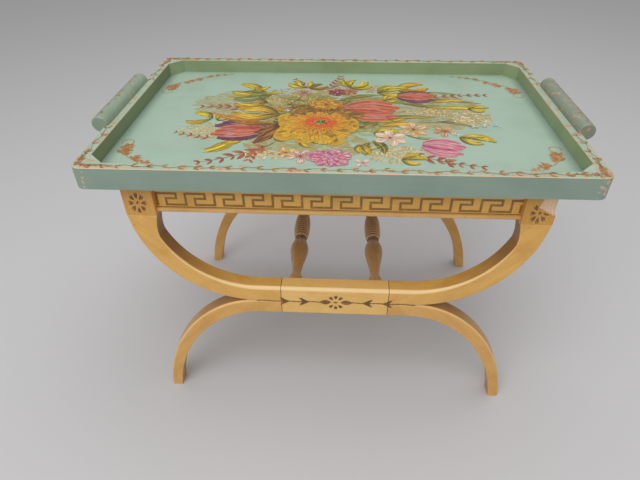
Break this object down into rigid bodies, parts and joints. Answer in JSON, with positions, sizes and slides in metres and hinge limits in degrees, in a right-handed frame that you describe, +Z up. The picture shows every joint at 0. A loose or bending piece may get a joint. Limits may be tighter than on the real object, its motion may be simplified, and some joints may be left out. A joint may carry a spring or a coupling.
{
  "type": "tray table",
  "caption": "Lift-off painted wooden tray with side rod handles, resting on a curule stand of curved arms and legs joined by turned spindles.",
  "frame": {"origin": "on the floor, under the middle of the table", "axes": "+Z up, +X along the table's length to the right, the front faces -Y"},
  "size_m": [0.741, 0.444, 0.4975],
  "materials": {
    "painted_floor_panel": "brushed green paint with a floral bouquet, satin varnish",
    "painted_tray_wood": "brushed green paint, gilt stencilled rim, worn arrises",
    "painted_handle_wood": "brushed green paint with gilt leaf specks",
    "birch_dowel": "plain birch",
    "bare_cleat_wood": "bare planed wood",
    "steel_fastener": "plain steel",
    "stained_turned_wood": "turned, brown toned lacquer",
    "lacquered_apron_wood": "honey lacquer with a stencilled key pattern",
    "lacquered_bead_wood": "honey lacquer",
    "bare_rail_wood": "bare planed wood",
    "lacquered_frame_wood": "honey lacquer over beech, stencilled rosettes"
  },
  "bodies": {
    "stand": {"front_centre_block": "lacquered_frame_wood", "front_apron": "lacquered_apron_wood", "front_bead_moulding": "lacquered_bead_wood", "rear_centre_block": "lacquered_frame_wood", "rear_apron": "lacquered_apron_wood", "rear_bead_moulding": "lacquered_bead_wood", "front_left_arm": "lacquered_frame_wood", "front_left_leg": "lacquered_frame_wood", "front_left_top_block": "lacquered_frame_wood", "front_left_corner_brace": "bare_rail_wood", "front_right_arm": "lacquered_frame_wood", "front_right_leg": "lacquered_frame_wood", "front_right_top_block": "lacquered_frame_wood", "front_right_corner_brace": "bare_rail_wood", "rear_left_arm": "lacquered_frame_wood", "rear_left_leg": "lacquered_frame_wood", "rear_left_top_block": "lacquered_frame_wood", "rear_left_corner_brace": "bare_rail_wood", "rear_right_arm": "lacquered_frame_wood", "rear_right_leg": "lacquered_frame_wood", "rear_right_top_block": "lacquered_frame_wood", "rear_right_corner_brace": "bare_rail_wood", "left_end_rail": "bare_rail_wood", "left_spindle": "stained_turned_wood", "right_end_rail": "bare_rail_wood", "right_spindle": "stained_turned_wood", "centre_joint_dowels": "birch_dowel", "seam_dowels": "birch_dowel", "top_block_dowels": "birch_dowel", "apron_dowels": "birch_dowel", "rail_dowels": "birch_dowel", "brace_screws": "steel_fastener"},
    "tray": {"tray_floor_panel": "painted_floor_panel", "tray_front_wall": "painted_tray_wood", "tray_rear_wall": "painted_tray_wood", "left_end_wall": "painted_tray_wood", "right_end_wall": "painted_tray_wood", "tray_corner_block_front_left": "painted_tray_wood", "tray_corner_block_front_right": "painted_tray_wood", "tray_corner_block_rear_left": "painted_tray_wood", "tray_corner_block_rear_right": "painted_tray_wood", "left_handle_rod": "painted_handle_wood", "right_handle_rod": "painted_handle_wood", "handle_dowels": "birch_dowel", "left_locating_cleat": "bare_cleat_wood", "right_locating_cleat": "bare_cleat_wood", "tray_wall_nails": "steel_fastener", "floor_panel_brads": "steel_fastener", "cleat_screws": "steel_fastener"}
  },
  "joints": [
    {"name": "tray_lift", "type": "slide", "parent": "stand", "child": "tray", "axis": [0, 0, 1], "range_m": [0, 0.15]}
  ]
}
